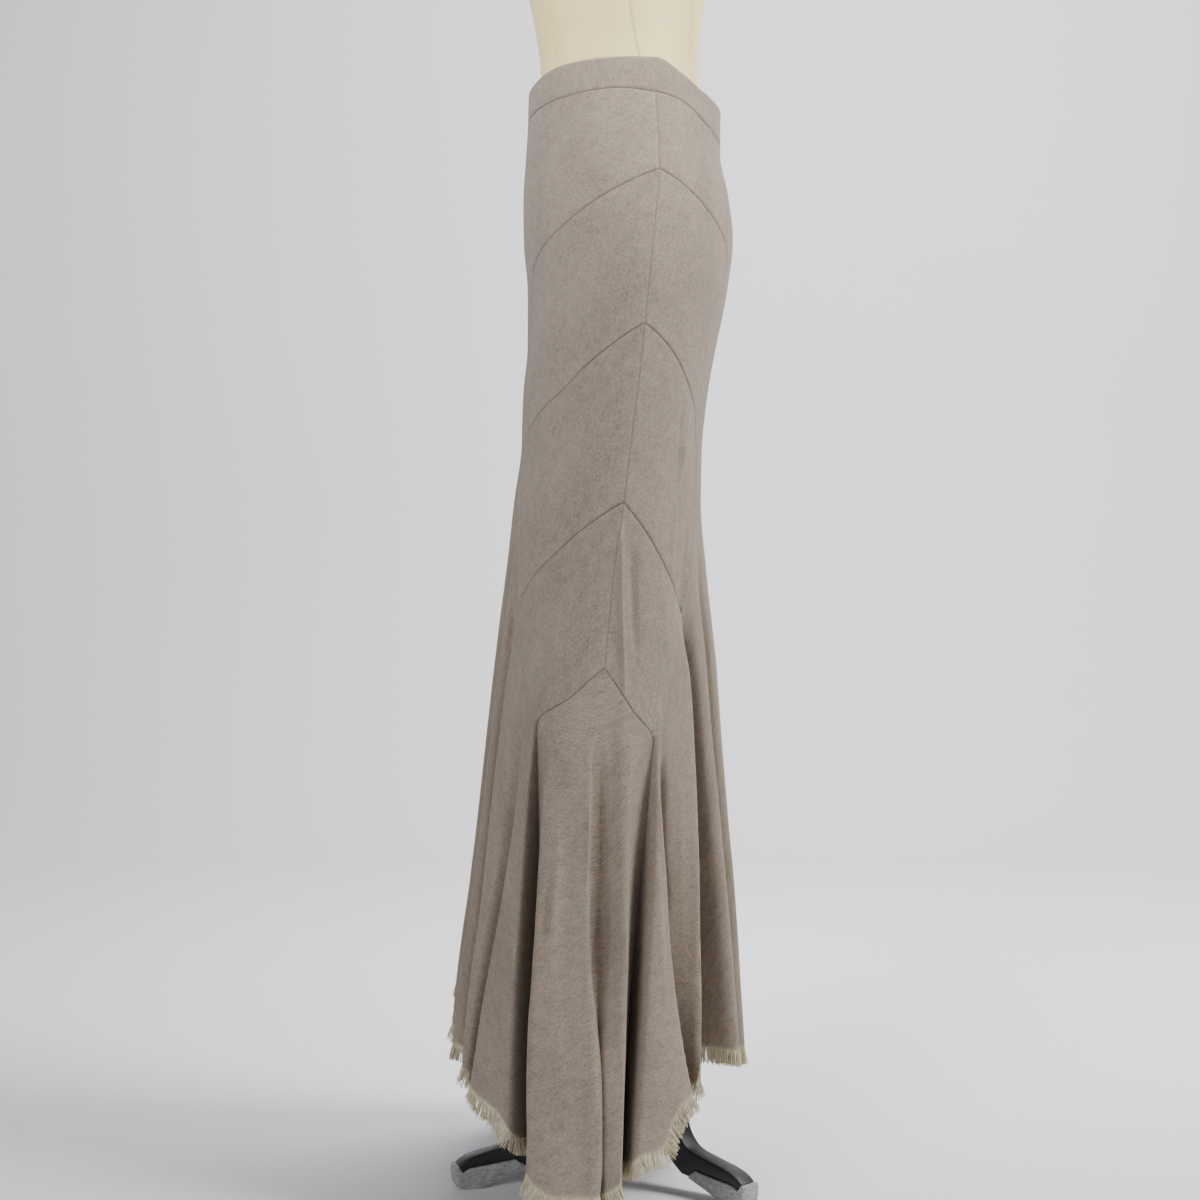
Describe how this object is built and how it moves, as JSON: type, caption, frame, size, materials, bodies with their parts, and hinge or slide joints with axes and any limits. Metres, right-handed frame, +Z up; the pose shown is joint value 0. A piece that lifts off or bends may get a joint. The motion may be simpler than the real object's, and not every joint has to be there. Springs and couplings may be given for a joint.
{
  "type": "maxi skirt on a dress form and stand",
  "caption": "Ankle-length trumpet skirt with chevron seams, flared folds and a frayed fringe along an uneven hem, worn by a limbless dress form on a splayed stand",
  "frame": {"origin": "centre of the bounding box at floor level, where the tape under the feet touches the floor", "axes": "+Z is up; the skirt's front faces -Y; the wearer's left is +X"},
  "size_m": [0.5106, 0.2983, 1.572],
  "materials": {
    "linen": "taupe slubby linen, plain weave, matt",
    "fringe_thread": "pale straw linen threads, frayed",
    "form_cover": "cream cover, smooth and matt",
    "stand_paint": "black, half gloss",
    "tape": "grey adhesive tape, slightly shiny"
  },
  "bodies": {
    "root": {"waistband": "linen", "front_panel": "linen", "back_panel": "linen", "front_tier_2_left": "linen", "front_tier_2_right": "linen", "front_tier_3_left": "linen", "front_tier_3_right": "linen", "front_tier_4_left": "linen", "front_tier_4_right": "linen", "back_tier_2_left": "linen", "back_tier_2_right": "linen", "back_tier_3_left": "linen", "back_tier_3_right": "linen", "back_tier_4_left": "linen", "back_tier_4_right": "linen", "side_godet_left": "linen", "side_godet_right": "linen", "fringe_front": "fringe_thread", "fringe_left": "fringe_thread", "fringe_right": "fringe_thread", "fringe_back": "fringe_thread", "form_torso": "form_cover", "post": "stand_paint", "hub": "stand_paint", "leg_front": "stand_paint", "leg_back_left": "stand_paint", "leg_right": "stand_paint", "tape_front": "tape", "tape_back_left": "tape", "tape_right": "tape"}
  },
  "joints": []
}
